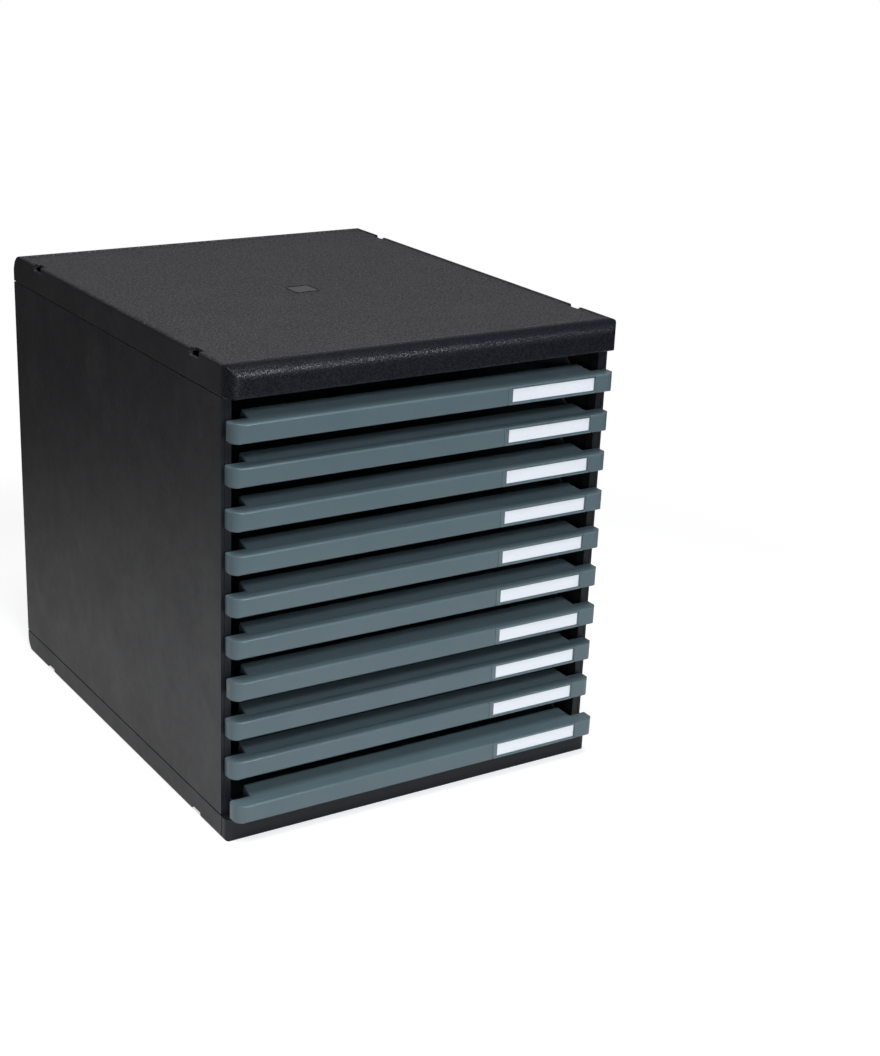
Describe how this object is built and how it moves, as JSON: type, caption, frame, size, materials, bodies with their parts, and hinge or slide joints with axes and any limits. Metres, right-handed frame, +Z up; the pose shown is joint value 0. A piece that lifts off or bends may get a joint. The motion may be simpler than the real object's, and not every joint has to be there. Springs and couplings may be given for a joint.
{
  "type": "desktop drawer unit",
  "caption": "Black plastic desktop drawer unit with a stack of shallow grey sliding trays for stamps and flat sheets, each with a clear label window.",
  "frame": {"origin": "middle of the underside of the casing, halfway between the faces of its front posts and its back", "axes": "+X to the right seen from the front, +Y from the drawer fronts to the back, +Z up"},
  "size_m": [0.288, 0.3612, 0.3165],
  "materials": {
    "casing_black": "fine leather grain, satin",
    "drawer_grey": "smooth satin",
    "label_card": "plain white card",
    "label_window": "clear plastic pane"
  },
  "bodies": {
    "casing": {"top_cover": "casing_black", "base": "casing_black", "left_side_panel": "casing_black", "right_side_panel": "casing_black", "back_panel": "casing_black"},
    "drawer_body_1": {"drawer_1": "drawer_grey", "label_card_1": "label_card", "label_window_1": "label_window"},
    "drawer_body_2": {"drawer_2": "drawer_grey", "label_card_2": "label_card", "label_window_2": "label_window"},
    "drawer_body_3": {"drawer_3": "drawer_grey", "label_card_3": "label_card", "label_window_3": "label_window"},
    "drawer_body_4": {"drawer_4": "drawer_grey", "label_card_4": "label_card", "label_window_4": "label_window"},
    "drawer_body_5": {"drawer_5": "drawer_grey", "label_card_5": "label_card", "label_window_5": "label_window"},
    "drawer_body_6": {"drawer_6": "drawer_grey", "label_card_6": "label_card", "label_window_6": "label_window"},
    "drawer_body_7": {"drawer_7": "drawer_grey", "label_card_7": "label_card", "label_window_7": "label_window"},
    "drawer_body_8": {"drawer_8": "drawer_grey", "label_card_8": "label_card", "label_window_8": "label_window"},
    "drawer_body_9": {"drawer_9": "drawer_grey", "label_card_9": "label_card", "label_window_9": "label_window"},
    "drawer_body_10": {"drawer_10": "drawer_grey", "label_card_10": "label_card", "label_window_10": "label_window"}
  },
  "joints": [
    {"name": "drawer_slide_1", "type": "slide", "parent": "casing", "child": "drawer_body_1", "axis": [0, -1, 0], "range_m": [-0.0022, 0.2478]},
    {"name": "drawer_slide_2", "type": "slide", "parent": "casing", "child": "drawer_body_2", "axis": [0, -1, 0], "range_m": [-0.0003, 0.2497]},
    {"name": "drawer_slide_3", "type": "slide", "parent": "casing", "child": "drawer_body_3", "axis": [0, -1, 0], "range_m": [-0.0006, 0.2494]},
    {"name": "drawer_slide_4", "type": "slide", "parent": "casing", "child": "drawer_body_4", "axis": [0, -1, 0], "range_m": [-0.0011, 0.2489]},
    {"name": "drawer_slide_5", "type": "slide", "parent": "casing", "child": "drawer_body_5", "axis": [0, -1, 0], "range_m": [-0.0012, 0.2488]},
    {"name": "drawer_slide_6", "type": "slide", "parent": "casing", "child": "drawer_body_6", "axis": [0, -1, 0], "range_m": [-0.0015, 0.2485]},
    {"name": "drawer_slide_7", "type": "slide", "parent": "casing", "child": "drawer_body_7", "axis": [0, -1, 0], "range_m": [-0.003, 0.247]},
    {"name": "drawer_slide_8", "type": "slide", "parent": "casing", "child": "drawer_body_8", "axis": [0, -1, 0], "range_m": [-0.0011, 0.2489]},
    {"name": "drawer_slide_9", "type": "slide", "parent": "casing", "child": "drawer_body_9", "axis": [0, -1, 0], "range_m": [-0.001, 0.249]},
    {"name": "drawer_slide_10", "type": "slide", "parent": "casing", "child": "drawer_body_10", "axis": [0, -1, 0], "range_m": [-0.0082, 0.2418]}
  ]
}
